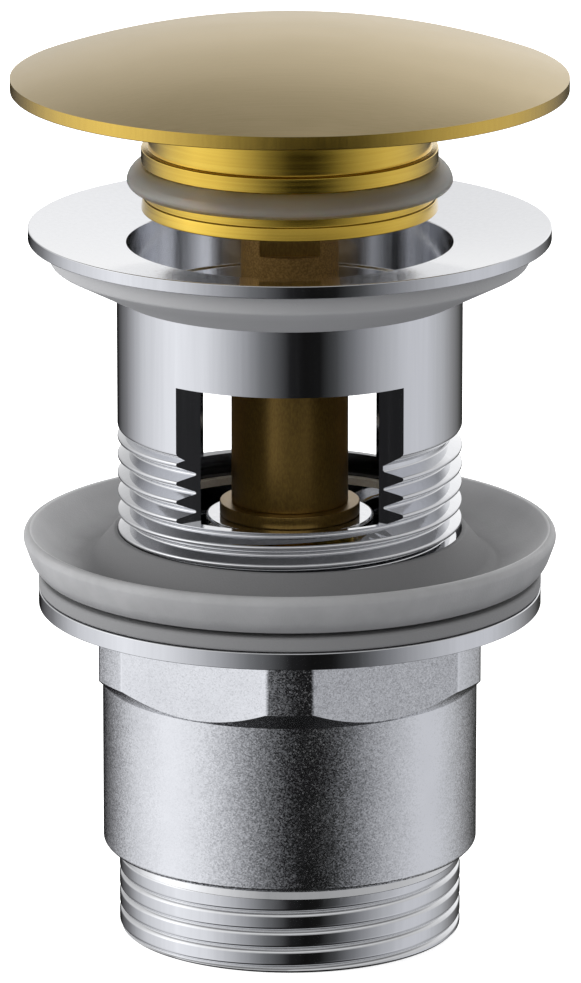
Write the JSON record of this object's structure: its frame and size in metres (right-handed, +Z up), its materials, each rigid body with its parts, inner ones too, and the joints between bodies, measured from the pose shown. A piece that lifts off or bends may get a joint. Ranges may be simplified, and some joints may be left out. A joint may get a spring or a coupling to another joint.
{
  "type": "pop up basin waste",
  "caption": "Click-clack basin waste: domed sprung plug over a dished flange and threaded tube with overflow windows, clamped to the basin by a hexagon tail with a cup seal.",
  "frame": {"origin": "centre of the lower end of the tail thread, on the axis", "axes": "+Z up the axis from the tail to the cap; the overflow windows face -Y and +Y; a hexagon corner faces -Y"},
  "size_m": [0.0674, 0.0674, 0.1124],
  "materials": {
    "cap_gold": "brushed",
    "skirt_gold": "polished",
    "chrome_polished": "polished",
    "chrome_blasted": "sand-blasted",
    "seal_rubber": "matt",
    "lip_silicone": "satin",
    "brass_turned": "turned",
    "steel_plain": "plain",
    "thrust_plastic": "moulded"
  },
  "bodies": {
    "tail": {"tail_body": "chrome_blasted"},
    "seal": {"slip_washer": "seal_rubber", "cup_seal": "seal_rubber"},
    "upper": {"flange_tube": "chrome_polished", "upper_gasket": "seal_rubber", "strainer_spider": "chrome_polished", "screw_washer": "steel_plain", "fixing_screw": "steel_plain", "cartridge_base": "brass_turned", "cartridge_sleeve": "brass_turned", "cartridge_nut": "brass_turned", "return_spring": "steel_plain"},
    "latch": {"latch_ring": "brass_turned", "latch_ball": "steel_plain"},
    "plug": {"push_rod": "brass_turned", "thrust_disc": "thrust_plastic", "cap_stud": "steel_plain", "plug_skirt": "skirt_gold", "lip_seal": "lip_silicone", "cap_dome": "cap_gold"}
  },
  "joints": [
    {"name": "tail_turn", "type": "hinge", "parent": "tail", "child": "seal", "pos_m": [0, 0, 0.0431], "axis": [0, 0, 1], "range_deg": [-1800, 720]},
    {"name": "clamp_travel", "type": "slide", "parent": "seal", "child": "upper", "axis": [0, 0, 1], "range_m": [-0.01155, 0.00462]},
    {"name": "plug_travel", "type": "slide", "parent": "upper", "child": "plug", "axis": [0, 0, -1], "range_m": [0, 0.012], "stiffness_N_per_m": 250, "springref_m": -0.02, "deforming": ["return_spring"]},
    {"name": "latch_turn", "type": "hinge", "parent": "upper", "child": "latch", "pos_m": [0, 0, 0.0739], "axis": [0, 0, 1], "range_deg": [0, 120]}
  ],
  "couplings": [
    {"joint": "clamp_travel", "follows": "tail_turn", "m_per_rad": 0.00036749},
    {"joint": "latch_turn", "follows": "plug_travel", "rad_per_m": 174.5}
  ]
}
